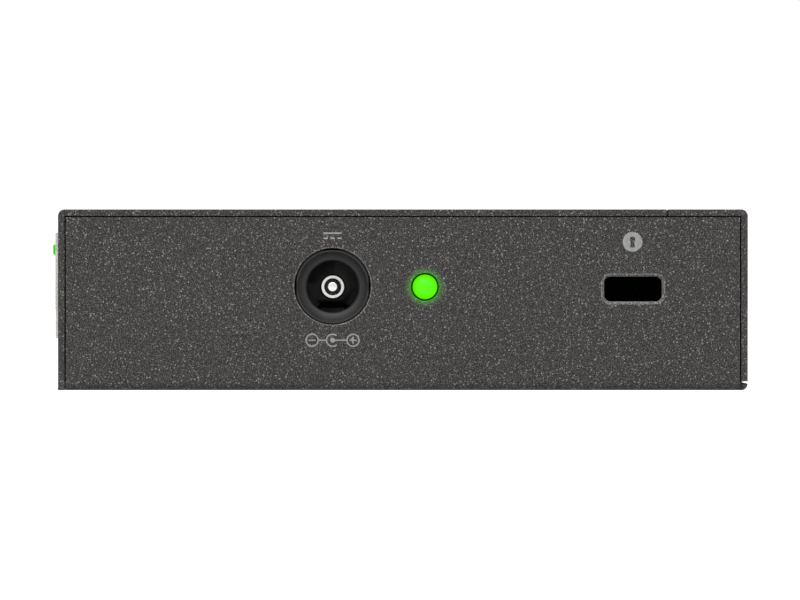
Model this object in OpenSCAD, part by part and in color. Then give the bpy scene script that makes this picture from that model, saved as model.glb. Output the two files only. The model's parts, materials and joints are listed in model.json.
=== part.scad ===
// Five-port desktop network switch in a case of folded steel sheet.
// +Z is up, the ports face -Y, the power side faces +X.
// The origin is under the middle of the case, level with its underside. Millimetres.

/* [Case] */
// Length of the case, along the row of ports
case_l = 100; // [92:1:140]
// Depth of the case, from the port wall to the end wall
case_d = 84; // [80:1:120]
// Height of the case
case_h = 22; // [21.5:0.5:32]
// Thickness of the folded sheet
sheet_t = 0.8; // [0.6:0.1:1]
// Outside radius of the folds
bend_r = 0.8; // [0.8:0.1:1.4]
// Open seam between a side wall and the covers round it
seam = 0.15; // [0.1:0.05:0.3]
// Open seam across the top, and between the end wall and the floor
top_seam = 0.24; // [0.16:0.02:0.4]
// Width of the end panel's strip of the top
strip_w = 9.7; // [8:0.1:14]
// Reach of the lap that carries the cover's edge, under each side of the top seam
lap_w = 4; // [3:0.5:6]

/* [Fixing tabs and case screws] */
// Width of a fixing tab
tab_w = 12; // [8:1:16]
// Reach of a fixing tab into the case
tab_reach = 7.4; // [6.5:0.1:9]
// Thread radius of a case screw
case_thread_r = 1.5; // [1.2:0.1:1.6]
// Head radius of a case screw
case_head_r = 2.75; // [2.3:0.05:3]
// Height of a clinch nut
nut_h = 1.6; // [1.2:0.1:1.8]
// Radius of a clinch nut
nut_r = 2.8; // [2.4:0.1:3.2]

/* [Floor] */
// Distance between the two wall keyholes
keyhole_pitch = 60; // [40:1:70]
// Radius of a keyhole's entry
keyhole_r = 3.75; // [3.6:0.05:4.5]
// Radius of a keyhole's slot
keyhole_slot_r = 2; // [1.5:0.1:2.5]
// Travel from a keyhole's entry to the end of its slot
keyhole_run = 6.5; // [6:0.5:9]
// Gap from the board's rear edge to the keyhole entries
keyhole_gap = 3; // [2.5:0.5:8]
// Length of the label
label_l = 46; // [30:1:52]
// Width of the label
label_w = 26; // [15:1:30]
// Depth of the pressed recess that the label lies in
label_recess = 0.15; // [0.12:0.01:0.2]
// Thickness of the label
label_t = 0.1; // [0.05:0.01:0.11]

/* [Lock slot] */
// Distance of the lock slot from the port wall
lock_from_front = 70.02; // [66:0.02:72]
// Height of the lock slot's middle
lock_z = 12.31; // [9:0.01:13]
// Length of the lock slot
lock_w = 7; // [6.5:0.1:7.5]
// Height of the lock slot
lock_h = 3; // [2.8:0.1:3.4]
// Corner radius of the lock slot
lock_corner_r = 0.75; // [0.3:0.05:1.2]

/* [Circuit board] */
// Height of the board's top face above the underside
board_top = 6.2; // [6:0.1:6.8]
// Thickness of the board
board_t = 1.6; // [1.2:0.1:1.6]
// Depth of the board from front to rear
board_d = 54; // [52:1:56]
// Gap from the board's edges to the case
board_gap = 0.7; // [0.4:0.1:1]
// Distance of the board screws from the sides of the case
post_inset = 6; // [5.5:0.1:7]
// Distance of the board screws from the board's front and rear edges
post_edge = 5.6; // [4.5:0.1:7]
// Width across the flats of a standoff
post_flats = 4.5; // [4:0.1:5]
// Thread radius of a board screw
board_thread_r = 1.25; // [1:0.05:1.3]
// Head radius of a board screw
board_head_r = 2.25; // [2:0.05:2.5]
// Head height of a board screw
board_head_h = 1.5; // [1.2:0.1:1.8]
// Thickness of the insulating film on the floor
film_t = 0.2; // [0.1:0.05:0.3]

/* [Network ports] */
// Number of ports
port_count = 5; // [5:1:5]
// Distance from port to port
port_pitch = 13.97; // [13.9:0.01:14.2]
// Depth of the port block
block_d = 21.3; // [20:0.1:21.5]
// Height of the port block
block_h = 12.94; // [12.9:0.02:13.4]
// How far the port block stands out of the port wall
block_proud = 0.5; // [0.3:0.1:1]
// Thickness of the block's metal shield
shield_t = 0.25; // [0.2:0.01:0.28]
// Width of a plug opening
jack_w = 11.9; // [11.8:0.02:12]
// Height of a plug opening, without its latch slot
jack_h = 7; // [6.9:0.05:7]
// Depth of a plug opening
jack_depth = 13; // [12.5:0.1:14]
// Height of the sill under a plug opening
jack_sill = 1.6; // [1.5:0.05:1.7]
// Width of a status lamp's face
lamp_w = 3.1; // [2.6:0.1:3.2]
// Height of a status lamp's face
lamp_h = 1.55; // [1.3:0.05:1.6]
// How far a status lamp stands out of the shield
lamp_proud = 0.3; // [0.2:0.05:0.4]
// Distance of a status lamp from the middle of its port
lamp_x = 4.7; // [4.5:0.05:4.8]
// Depth of a status lamp's face below the block's top
lamp_drop = 1.34; // [1.3:0.02:1.4]

/* [Spring contacts] */
// Number of spring wires in a port
wire_count = 8; // [8:1:8]
// Distance from wire to wire
wire_pitch = 1.02; // [1:0.01:1.06]
// Width of a spring wire
wire_w = 0.46; // [0.3:0.02:0.5]
// Thickness of a spring wire
wire_t = 0.3; // [0.25:0.01:0.35]
// Length of a spring wire's free arm
wire_arm = 9.6; // [8.5:0.1:10]
// Rise of a spring wire's arm at rest, in degrees
wire_rise = 12.5; // [11:0.5:13]
// Radius of the bend that a spring wire flexes about
wire_bend_r = 0.5; // [0.4:0.05:0.5]

/* [Power inlet] */
// Distance of the power inlet from the port wall
inlet_from_front = 33.44; // [32:0.02:34]
// Height of the inlet's axis above the board
inlet_rise = 6.38; // [6.3:0.02:6.6]
// Width of the inlet's body
inlet_w = 9; // [9:0.1:9.4]
// Length of the inlet's body behind the wall
inlet_l = 13.5; // [13:0.1:14.4]
// Radius of the inlet's round nose
nose_r = 4.44; // [4.3:0.01:4.5]
// Width across the nose's two side flats
nose_flats = 8.68; // [8.4:0.02:8.8]
// Gap between the nose and the wall's hole round it
nose_gap = 0.23; // [0.1:0.01:0.3]
// How far the wall's hole sits above the nose's axis
nose_hole_up = 0.05; // [0:0.01:0.14]
// Radius of the inlet's bore
bore_r = 3.15; // [3.1:0.05:3.2]
// Depth of the inlet's bore
bore_depth = 9.8; // [9:0.1:10]
// Radius of the centre pin
pin_r = 1; // [0.95:0.05:1.05]
// Radius of the pin's collar
pin_collar_r = 1.42; // [1.3:0.02:1.5]
// Width of the leaf spring
leaf_w = 2.8; // [2.4:0.1:3]
// Thickness of the leaf spring
leaf_t = 0.25; // [0.2:0.01:0.3]

/* [Power lamp] */
// Distance of the power lamp from the port wall
lamp_from_front = 44.69; // [44:0.01:46]
// Height of the power lamp's axis above the board
lamp_rise = 6.37; // [6.2:0.01:6.6]
// Radius of the power lamp
led_r = 1.53; // [1.48:0.01:1.6]
// Gap between the power lamp and the wall's hole round it
led_gap = 0.17; // [0.1:0.01:0.25]
// How far the power lamp's dome stands out of the wall
led_proud = 0.3; // [0.1:0.1:0.6]

/* [Electronics] */
// Side of the switch chip
chip_side = 14; // [12:1:14]
// Height of the switch chip
chip_h = 1.4; // [1:0.1:1.6]
// Number of leads on each side of the switch chip
chip_leads = 16; // [8:1:16]
// Height of the heat sink
sink_h = 6; // [4:0.5:7]
// Number of fins on the heat sink
sink_fins = 7; // [4:1:7]
// Length of an isolation transformer
mag_l = 12.4; // [11:0.1:12.6]
// Width of an isolation transformer
mag_w = 6.6; // [6:0.1:6.8]
// Height of an isolation transformer
mag_h = 5.4; // [4:0.1:6]
// Radius of an electrolytic capacitor
can_r = 3.15; // [2.5:0.05:3.2]
// Height of an electrolytic capacitor
can_h = 7.7; // [5.4:0.1:8]

/* [Hidden] */
$fn = 64;
// Small overlap that lets joined solids share a volume and cuts pass right through
lip = 0.5;
// Clearance of a screw's thread in its hole, and of a part pushed into its seat
thread_gap = 0.02;
// Free gap round pins, lamps and leads in their holes
fit_gap = 0.1;
// Free gap between neighbouring parts on the board
part_gap = 1;

front_y = -case_d / 2;
rear_y = case_d / 2;
side_x = case_l / 2;
side_top = case_h - sheet_t - seam;
inner_front_y = front_y + sheet_t + seam;
inner_rear_y = rear_y - sheet_t - seam;
strip_y = rear_y - strip_w;

board_bottom = board_top - board_t;
board_x = side_x - sheet_t - board_gap;
board_front_y = front_y + sheet_t + board_gap;
board_rear_y = board_front_y + board_d;
post_x = side_x - post_inset;
post_front_y = board_front_y + post_edge;
post_rear_y = board_rear_y - post_edge;
board_hole_r = board_thread_r + fit_gap;
pin_end_z = board_bottom - 1.2;

tab_z = sheet_t + top_seam;
tab_x = post_x - post_flats / 2 - tab_w / 2 - 2 * part_gap;
tab_screw_in = sheet_t + tab_reach - nut_r - 0.6;
tab_hole_r = case_thread_r + 3 * fit_gap;
nut_z = tab_z + sheet_t;
pad_r = case_head_r + 1.6;
screw_places = [for (sx = [-1, 1], sy = [-1, 1]) [sx * tab_x, sy * (rear_y - tab_screw_in)]];
post_places = [for (sx = [-1, 1], y = [post_front_y, post_rear_y]) [sx * post_x, y]];

keyhole_y = board_rear_y + keyhole_gap + keyhole_r;
keyhole_places = [for (sx = [-1, 1]) [sx * keyhole_pitch / 2, keyhole_y]];

block_w = port_count * port_pitch + 2 * shield_t;
block_y0 = front_y - block_proud;
block_y1 = block_y0 + block_d;
block_z0 = board_top + fit_gap;
block_z1 = block_z0 + block_h;
opening_gap = 0.25;
port_places = [for (i = [0 : port_count - 1]) (i - (port_count - 1) / 2) * port_pitch];
jack_z0 = block_z0 + jack_sill;
jack_z1 = jack_z0 + jack_h;
latch_w = 6.3;
latch_h = 1.3;
latch_depth = 8;
hook_w = 4;
hook_h = 0.8;
hook_depth = 6;
lamp_z1 = block_z1 - lamp_drop;
lamp_z0 = lamp_z1 - lamp_h;
lamp_l = 4.2;
lamp_chamfer = 0.3;
housing_y0 = block_y0 + shield_t;
housing_y1 = block_y1 - shield_t - 0.6;
housing_z1 = lamp_z1 + 2 * fit_gap;
lamp_lead_t = 0.3;
lamp_lead_z = housing_z1 + fit_gap;
lamp_lead_y = housing_y1 + fit_gap;
lamp_lead_dx = 0.64;
peg_r = 1.55;
peg_y = block_y0 + 10;
shield_leg_w = 1.5;
shield_leg_places = [block_y0 + 9.8, block_y0 + 16.5];

wire_row_w = (wire_count - 1) * wire_pitch + wire_w;
wire_channel_w = wire_row_w + 4 * fit_gap;
wire_pivot_y = housing_y0 + 1.75;
wire_pivot_z = jack_z0 - 0.1;
tail_z = wire_pivot_z - wire_bend_r - wire_t - fit_gap;
tail_row_y = [block_y1 - 5.8, block_y1 - 3.26];
tail_hole_r = 0.4;

inlet_y = front_y + inlet_from_front;
inlet_z = board_top + inlet_rise;
inlet_x1 = side_x - sheet_t - fit_gap;
inlet_x0 = inlet_x1 - inlet_l;
inlet_top = inlet_z + 4.45;
nose_x = side_x - 0.25;
funnel_r = nose_flats / 2 - 0.02;
dish_lean = 0.42;
dish_tube_r = (funnel_r - bore_r) / (1 - dish_lean);
bore_floor_x = nose_x - bore_depth;
pin_tip_x = nose_x - 0.8;
pin_collar_l = 0.5;
pin_recess = 1.6;
pin_shank_r = 0.8;
blade_t = 0.3;
blade_w = 2.4;
leaf_pivot_x = inlet_x0 + 2.7;
leaf_pivot_z = inlet_z - 4.7;
leaf_eye_r = 0.3;
leaf_slot_w = leaf_w + 6 * fit_gap;
leaf_slot_x0 = leaf_pivot_x - 0.7;
leaf_slot_x1 = leaf_pivot_x + 9;
leaf_slot_drop = 1.88;
blade_top_z = leaf_pivot_z - leaf_eye_r - fit_gap;

led_y = front_y + lamp_from_front;
led_z = board_top + lamp_rise;
led_tip_x = side_x + led_proud;
led_l = 5.1;
led_back_x = led_tip_x - led_l;
led_flange_r = 1.9;
led_flange_t = 0.9;
led_hole_r = led_r + led_gap;
led_lead_t = 0.45;
led_lead_dy = 0.64;
led_holder_l = 2.8;
led_lead_x = led_back_x - led_holder_l + 1;

mag_pitch = mag_l + 0.8;
mag_row_x1 = inlet_x0 - part_gap;
mag_lead_out = 1.2;
mag_y = block_y1 + part_gap + mag_lead_out + mag_w / 2;
mag_places = [for (i = [0 : port_count - 1]) mag_row_x1 - mag_l / 2 - i * mag_pitch];
mag_leads = 8;
mag_lead_pitch = 1.27;
mag_rise = 0.3;

filter_y = mag_y + mag_w / 2 + mag_lead_out + 0.9;
power_y = filter_y + 0.4 + part_gap;
inductor_side = 7;
inductor_y = power_y + inductor_side / 2;

chip_ring = chip_side / 2 + 2.4;
chip_x = -6;
chip_y = filter_y + chip_ring + 1.4;
chip_rise = 0.1;
pad_t = 0.5;
pad_side = chip_side - 2;
chip_top = board_top + chip_rise + chip_h;

// ---- shared shapes ----

// A box between two corners
module span_box(low, high) {
    translate(low) cube(high - low);
}

// A round bar along X
module x_bar(x0, x1, y, z, r) {
    translate([x0, y, z]) rotate([0, 90, 0]) cylinder(h = x1 - x0, r = r);
}

// An outline in Y and Z, drawn out along X
module drawn_along_x(x0, x1) {
    translate([x0, 0, 0]) rotate([90, 0, 90]) linear_extrude(x1 - x0) children();
}

// An outline in X and Z, drawn out along Y
module drawn_along_y(y0, y1) {
    translate([0, y1, 0]) rotate([90, 0, 0]) linear_extrude(y1 - y0) children();
}

// A rectangle with round corners, about its middle
module rounded_rect(w, h, r) {
    square([w - 2 * r, h], center = true);
    square([w, h - 2 * r], center = true);
    for (sx = [-1, 1], sy = [-1, 1])
        translate([sx * (w / 2 - r), sy * (h / 2 - r)]) circle(r);
}

// A fold of sheet seen from its end: an upright and a flat that meet in a round corner.
// The corner is at the origin, the upright runs down and the flat runs to the right.
module fold_section(upright, flat) {
    difference() {
        union() {
            translate([bend_r, -upright]) square([flat - bend_r, upright]);
            translate([0, -upright]) square([bend_r + lip, upright - bend_r]);
            translate([bend_r, -bend_r]) circle(bend_r);
        }
        translate([sheet_t, -upright - lip]) square([flat, upright + lip - sheet_t]);
    }
}

// ---- case ----

// Floor and side walls, seen along Y
module channel_section() {
    difference() {
        union() {
            translate([-side_x, bend_r]) square([case_l, side_top - bend_r]);
            translate([-side_x + bend_r, 0]) square([case_l - 2 * bend_r, bend_r + lip]);
            for (s = [-1, 1]) translate([s * (side_x - bend_r), bend_r]) circle(bend_r);
        }
        translate([-side_x + sheet_t, sheet_t]) square([case_l - 2 * sheet_t, case_h]);
    }
}

// The floor's rear edge, which closes the gap under the end wall and is rounded below
module rear_edge_section() {
    intersection() {
        translate([inner_rear_y - lip, 0]) square([rear_y, sheet_t]);
        union() {
            translate([inner_rear_y - lip, 0]) square([rear_y - bend_r - inner_rear_y + lip, bend_r]);
            translate([rear_y - bend_r, bend_r]) circle(bend_r);
        }
    }
}

// A wall keyhole: a round entry and a slot that runs towards the end wall
module keyhole_cut() {
    translate([0, 0, -lip]) {
        cylinder(h = sheet_t + 2 * lip, r = keyhole_r);
        translate([0, keyhole_run, 0]) cylinder(h = sheet_t + 2 * lip, r = keyhole_slot_r);
        translate([-keyhole_slot_r, 0, 0])
            cube([2 * keyhole_slot_r, keyhole_run, sheet_t + 2 * lip]);
    }
}

// A countersunk case screw's shape, grown by a gap
module case_screw_shape(gap) {
    cone_h = case_head_r - case_thread_r;
    flush_z = 0.05;
    translate([0, 0, flush_z - gap])
        cylinder(h = cone_h, r1 = case_head_r + gap, r2 = case_thread_r + gap);
    translate([0, 0, -gap]) cylinder(h = flush_z + lip / 10, r = case_head_r + gap);
}

module chassis() {
    color("dimgray")
    difference() {
        union() {
            drawn_along_y(inner_front_y, inner_rear_y) channel_section();
            drawn_along_x(-side_x + bend_r, side_x - bend_r) rear_edge_section();
            for (p = screw_places)
                translate([p[0], p[1], sheet_t / 2]) cylinder(h = tab_z - sheet_t / 2, r = pad_r);
        }
        for (p = screw_places) translate([p[0], p[1], 0]) {
            translate([0, 0, -lip / 2])
                cylinder(h = lip / 2 + 0.05, r = case_head_r + fit_gap);
            cylinder(h = tab_z + lip, r1 = case_head_r + fit_gap,
                     r2 = case_head_r + fit_gap - tab_z - lip);
        }
        for (p = keyhole_places) translate([p[0], p[1], 0]) keyhole_cut();
        translate([0, 0, -lip]) linear_extrude(lip + label_recess)
            rounded_rect(label_l + 2 * fit_gap, label_w + 2 * fit_gap, 1 + fit_gap);
        x_bar(side_x - 2 * sheet_t, side_x + lip, inlet_y, inlet_z + nose_hole_up,
              nose_r + nose_gap);
        x_bar(side_x - 2 * sheet_t, side_x + lip, led_y, led_z, led_hole_r);
        drawn_along_x(side_x - 2 * sheet_t, side_x + lip)
            translate([front_y + lock_from_front, lock_z])
                rounded_rect(lock_w, lock_h, lock_corner_r);
    }
}

// A tab with its clearance hole, bent in from a wall; wall_y is the wall's inner face
module fixing_tab(x, wall_y) {
    s = sign(wall_y);
    y1 = wall_y - s * tab_reach;
    difference() {
        span_box([x - tab_w / 2, min(wall_y + s * sheet_t / 2, y1), tab_z],
                 [x + tab_w / 2, max(wall_y + s * sheet_t / 2, y1), tab_z + sheet_t]);
        translate([x, s * (rear_y - tab_screw_in), tab_z - lip])
            cylinder(h = sheet_t + 2 * lip, r = tab_hole_r);
    }
}

module top_cover() {
    roll = 0.12;
    roll_h = 0.3;
    edge_y = strip_y - top_seam;
    color("dimgray")
    difference() {
        union() {
            drawn_along_x(-side_x, side_x) translate([front_y, case_h])
                fold_section(case_h, edge_y - front_y);
            drawn_along_x(-side_x, side_x) polygon([
                [edge_y - lip, case_h], [edge_y, case_h], [edge_y + roll, case_h - roll_h],
                [edge_y + roll, case_h - sheet_t], [edge_y - lip, case_h - sheet_t]]);
            for (s = [-1, 1]) fixing_tab(s * tab_x, front_y + sheet_t);
        }
        span_box([-block_w / 2 - opening_gap, front_y - lip, block_z0 - opening_gap],
                 [block_w / 2 + opening_gap, front_y + 2 * sheet_t, block_z1 + opening_gap]);
        for (s = [-1, 1])
            span_box([s * tab_x - tab_w / 2 - lip, front_y - lip, -lip],
                     [s * tab_x + tab_w / 2 + lip, front_y + 2 * sheet_t, tab_z]);
    }
}

module end_panel() {
    lap_x = side_x - sheet_t - 4 * part_gap;
    color("dimgray")
    union() {
        drawn_along_x(-side_x, side_x) translate([rear_y, case_h]) mirror([1, 0])
            fold_section(case_h - tab_z, strip_w);
        span_box([-lap_x, strip_y - lap_w, case_h - 2 * sheet_t],
                 [lap_x, strip_y + lap_w, case_h - sheet_t]);
        for (s = [-1, 1]) fixing_tab(s * tab_x, rear_y - sheet_t);
    }
}

module clinch_nuts() {
    color("silver")
    for (p = screw_places) translate([p[0], p[1], nut_z]) difference() {
        cylinder(h = nut_h, r = nut_r);
        translate([0, 0, -lip]) cylinder(h = nut_h + 2 * lip, r = case_thread_r + thread_gap);
    }
}

module case_screws() {
    flush_z = 0.05;
    cone_h = case_head_r - case_thread_r;
    drive_r = 1.15;
    drive_d = 0.7;
    color("darkgray")
    for (p = screw_places) translate([p[0], p[1], 0]) difference() {
        union() {
            translate([0, 0, flush_z]) cylinder(h = cone_h, r1 = case_head_r, r2 = case_thread_r);
            translate([0, 0, flush_z + cone_h / 2])
                cylinder(h = nut_z + nut_h - flush_z - cone_h / 2, r = case_thread_r);
        }
        for (a = [0, 90]) rotate([0, 0, a])
            translate([0, 0, flush_z + drive_d / 2 - lip / 2])
                cube([2 * drive_r, 0.5, drive_d + lip], center = true);
    }
}

module rating_label() {
    color("whitesmoke")
    translate([0, 0, label_recess - label_t]) linear_extrude(label_t)
        rounded_rect(label_l, label_w, 1);
}

// ---- circuit board and its fixings ----

module board_standoffs() {
    hex_r = post_flats / 2 / cos(30);
    color("goldenrod")
    for (p = post_places) translate([p[0], p[1], sheet_t]) difference() {
        cylinder(h = board_bottom - sheet_t, r = hex_r, $fn = 6);
        translate([0, 0, 0.8])
            cylinder(h = board_bottom, r = board_thread_r + thread_gap, $fn = 48);
    }
}

module board_screws() {
    shank_l = board_t + 2.4;
    color("silver")
    for (p = post_places) translate([p[0], p[1], board_top]) difference() {
        union() {
            cylinder(h = board_head_h, r = board_head_r);
            translate([0, 0, -shank_l]) cylinder(h = shank_l + lip, r = board_thread_r);
        }
        for (a = [0, 90]) rotate([0, 0, a])
            translate([0, 0, board_head_h]) cube([2.4, 0.5, 1.4], center = true);
    }
}

module insulating_film() {
    film_x = post_x - post_flats - part_gap;
    film_y0 = inner_front_y + tab_reach + part_gap;
    color("lightyellow")
    span_box([-film_x, film_y0, sheet_t], [film_x, board_rear_y, sheet_t + film_t]);
}

// Round hole through the board
module board_hole(x, y, r) {
    translate([x, y, board_bottom - lip]) cylinder(h = board_t + 2 * lip, r = r, $fn = 24);
}

// Straight slot through the board, about its middle
module board_slot(x, y, w, d) {
    translate([x, y, board_top - board_t / 2]) cube([w, d, board_t + 2 * lip], center = true);
}

module circuit_board() {
    tail_slot = blade_t + 2 * fit_gap;
    blade_slot = blade_w + 2 * fit_gap;
    color("seagreen")
    difference() {
        span_box([-board_x, board_front_y, board_bottom], [board_x, board_rear_y, board_top]);
        for (p = post_places) board_hole(p[0], p[1], board_hole_r);
        for (x = port_places) {
            for (j = [0 : wire_count - 1])
                board_hole(x + (j - (wire_count - 1) / 2) * wire_pitch, tail_row_y[j % 2], tail_hole_r);
            for (sx = [-1, 1], sl = [-1, 1])
                board_hole(x + sx * lamp_x + sl * lamp_lead_dx, lamp_lead_y + lamp_lead_t / 2,
                           lamp_lead_t);
        }
        for (s = [-1, 1]) board_hole(s * 2 * port_pitch, peg_y, peg_r + fit_gap);
        for (s = [-1, 1], y = shield_leg_places)
            board_slot(s * (block_w / 2 - shield_t / 2), y, shield_t + 2 * fit_gap,
                       shield_leg_w + 2 * fit_gap);
        board_slot(inlet_x0 - blade_t / 2, inlet_y, tail_slot, blade_slot);
        board_slot(leaf_pivot_x, inlet_y, tail_slot, blade_slot);
        board_slot(side_blade_x(), side_blade_y(), blade_slot, tail_slot);
        for (s = [-1, 1]) board_hole(led_lead_x, led_y + s * led_lead_dy, led_lead_t);
    }
}

// ---- network ports ----

// The opening of one port: room for the plug, its latch and the latch's hook
module jack_outline(grow) {
    half_w = jack_w / 2 + grow;
    translate([-half_w, jack_z0 - grow]) square([2 * half_w, jack_h + 2 * grow]);
    translate([-latch_w / 2 - grow, jack_z0]) square([latch_w + 2 * grow, jack_h + latch_h + grow]);
    translate([-hook_w / 2 - grow, jack_z0])
        square([hook_w + 2 * grow, jack_h + latch_h + hook_h + grow]);
}

module port_housing() {
    housing_x = block_w / 2 - shield_t;
    lamp_pocket = fit_gap / 2;
    color("#202022")
    difference() {
        union() {
            span_box([-housing_x, housing_y0, block_z0], [housing_x, housing_y1, housing_z1]);
            for (s = [-1, 1]) translate([s * 2 * port_pitch, peg_y, board_bottom])
                cylinder(h = block_z0 - board_bottom + lip, r = peg_r);
        }
        for (x = port_places) translate([x, 0, 0]) {
            drawn_along_y(housing_y0 - lip, housing_y0 + jack_depth)
                translate([-jack_w / 2, jack_z0]) square([jack_w, jack_h]);
            drawn_along_y(housing_y0 - lip, housing_y0 + latch_depth)
                translate([-latch_w / 2, jack_z1 - lip]) square([latch_w, latch_h + lip]);
            drawn_along_y(housing_y0 - lip, housing_y0 + hook_depth)
                translate([-hook_w / 2, jack_z1]) square([hook_w, latch_h + hook_h]);
            for (s = [-1, 1])
                span_box([s * lamp_x - lamp_w / 2 - lamp_pocket, housing_y0 - lip,
                          lamp_z0 - lamp_pocket],
                         [s * lamp_x + lamp_w / 2 + lamp_pocket,
                          housing_y0 + lamp_l + fit_gap, housing_z1 + lip]);
            span_box([-wire_channel_w / 2, wire_pivot_y - 1.2, block_z0 - lip],
                     [wire_channel_w / 2, wire_pivot_y + 1.2, jack_z0 + lip]);
            span_box([-wire_channel_w / 2, wire_pivot_y, block_z0 - lip],
                     [wire_channel_w / 2, tail_row_y[1] + 3 * fit_gap, tail_z + wire_t + fit_gap]);
        }
    }
}

module port_shield() {
    half_w = block_w / 2;
    leg_top = block_z0 + 1;
    color("gainsboro")
    difference() {
        union() {
            span_box([-half_w, block_y0, block_z0], [half_w, block_y1, block_z1]);
            for (s = [-1, 1], y = shield_leg_places)
                translate([s * (half_w - shield_t / 2), y, (leg_top + pin_end_z) / 2])
                    cube([shield_t, shield_leg_w, leg_top - pin_end_z], center = true);
        }
        span_box([-half_w + shield_t, block_y0 + shield_t, block_z0 - lip],
                 [half_w - shield_t, block_y1 - shield_t, block_z1 - shield_t]);
        for (x = port_places) translate([x, 0, 0]) {
            drawn_along_y(block_y0 - lip, block_y0 + shield_t + lip) jack_outline(0);
            for (s = [-1, 1])
                span_box([s * lamp_x - lamp_w / 2 - fit_gap / 2, block_y0 - lip, lamp_z0 - fit_gap / 2],
                         [s * lamp_x + lamp_w / 2 + fit_gap / 2, block_y0 + 2 * shield_t,
                          lamp_z1 + fit_gap / 2]);
        }
    }
}

// Two lamps above each port, with bevelled ends that stand out of the shield
module port_lamps() {
    y0 = block_y0 - lamp_proud;
    y1 = housing_y0 + lamp_l;
    color("limegreen")
    for (x = port_places, s = [-1, 1]) drawn_along_x(x + s * lamp_x - lamp_w / 2,
                                                     x + s * lamp_x + lamp_w / 2)
        polygon([[y0, lamp_z0 + lamp_chamfer], [y0 + lamp_chamfer, lamp_z0], [y1, lamp_z0],
                 [y1, lamp_z1], [y0 + lamp_chamfer, lamp_z1], [y0, lamp_z1 - lamp_chamfer]]);
}

// The lamps' leads run over the housing and down behind it, through the board
module port_lamp_leads() {
    t = lamp_lead_t;
    start_y = housing_y0 + lamp_l - 1;
    color("silver")
    for (x = port_places, s = [-1, 1], l = [-1, 1])
        drawn_along_x(x + s * lamp_x + l * lamp_lead_dx - t / 2, x + s * lamp_x + l * lamp_lead_dx + t / 2)
            polygon([[start_y, lamp_z1], [start_y + t, lamp_z1], [start_y + t, lamp_lead_z],
                     [lamp_lead_y, lamp_lead_z], [lamp_lead_y, pin_end_z],
                     [lamp_lead_y + t, pin_end_z], [lamp_lead_y + t, lamp_lead_z + t],
                     [start_y, lamp_lead_z + t]]);
}

// Fixed ends of the spring wires, from the bend at the front to the board
module contact_tails() {
    color("goldenrod")
    for (x = port_places, j = [0 : wire_count - 1]) {
        wx = x + (j - (wire_count - 1) / 2) * wire_pitch;
        leg_y = tail_row_y[j % 2];
        drawn_along_x(wx - wire_t / 2, wx + wire_t / 2) polygon([
            [wire_pivot_y, tail_z], [leg_y - wire_t / 2, tail_z], [leg_y - wire_t / 2, pin_end_z],
            [leg_y + wire_t / 2, pin_end_z], [leg_y + wire_t / 2, tail_z + wire_t],
            [wire_pivot_y, tail_z + wire_t]]);
    }
}

// The free arms of one port's eight spring wires, with the bends they flex about
module port_contacts(number) {
    color("gold")
    for (j = [0 : wire_count - 1])
        translate([port_places[number - 1] + (j - (wire_count - 1) / 2) * wire_pitch,
                   wire_pivot_y, wire_pivot_z])
            rotate([wire_rise, 0, 0]) {
                rotate([0, 90, 0]) cylinder(h = wire_w, r = wire_bend_r, center = true, $fn = 32);
                span_box([-wire_w / 2, 0, wire_bend_r - wire_t], [wire_w / 2, wire_arm, wire_bend_r]);
            }
}

// ---- power inlet ----

function side_blade_x() = inlet_x0 + 6.4;
function side_blade_y() = inlet_y - inlet_w / 2 - blade_t / 2;

module inlet_body() {
    foot_gap = 0.3;
    color("#1a1a1b")
    difference() {
        union() {
            span_box([inlet_x0, inlet_y - inlet_w / 2, board_top],
                     [inlet_x1, inlet_y + inlet_w / 2, inlet_top]);
            intersection() {
                x_bar(inlet_x1 - lip, nose_x, inlet_y, inlet_z, nose_r);
                span_box([inlet_x1 - lip, inlet_y - nose_flats / 2, inlet_z - nose_r - lip],
                         [nose_x, inlet_y + nose_flats / 2, inlet_z + nose_r + lip]);
            }
        }
        x_bar(bore_floor_x, nose_x + lip, inlet_y, inlet_z, bore_r);
        translate([nose_x, inlet_y, inlet_z]) rotate([0, 90, 0]) rotate_extrude()
            translate([funnel_r - dish_tube_r, 0]) circle(dish_tube_r);
        x_bar(bore_floor_x - pin_recess, bore_floor_x + lip, inlet_y, inlet_z,
              pin_collar_r + 1.5 * fit_gap);
        x_bar(inlet_x0 - lip, bore_floor_x + lip, inlet_y, inlet_z, pin_shank_r + thread_gap);
        drawn_along_x(leaf_slot_x0, bore_floor_x + lip) polygon([
            [inlet_y - leaf_slot_w / 2, board_top - lip], [inlet_y + leaf_slot_w / 2, board_top - lip],
            [inlet_y + leaf_slot_w / 2, inlet_z - leaf_slot_drop - lip],
            [inlet_y + leaf_w / 2, inlet_z - leaf_slot_drop],
            [inlet_y - leaf_w / 2, inlet_z - leaf_slot_drop],
            [inlet_y - leaf_slot_w / 2, inlet_z - leaf_slot_drop - lip]]);
        span_box([leaf_slot_x0, inlet_y - leaf_slot_w / 2, board_top - lip],
                 [leaf_slot_x1, inlet_y + leaf_slot_w / 2, inlet_z - bore_r + lip]);
        span_box([leaf_slot_x1 - lip, inlet_y - leaf_slot_w / 2, board_top - lip],
                 [inlet_x1 - 2 * sheet_t, inlet_y + leaf_slot_w / 2, board_top + foot_gap]);
    }
}

module inlet_pin() {
    tip_h = 0.75;
    tip_r = 0.53;
    color("silver")
    union() {
        x_bar(inlet_x0 - blade_t - 0.2, bore_floor_x, inlet_y, inlet_z, pin_shank_r);
        x_bar(bore_floor_x - pin_recess, bore_floor_x + pin_collar_l, inlet_y, inlet_z, pin_collar_r);
        x_bar(bore_floor_x + pin_collar_l / 2, pin_tip_x - tip_h, inlet_y, inlet_z, pin_r);
        translate([pin_tip_x - tip_h, inlet_y, inlet_z]) rotate([0, 90, 0])
            cylinder(h = tip_h, r1 = pin_r, r2 = tip_r);
    }
}

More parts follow.
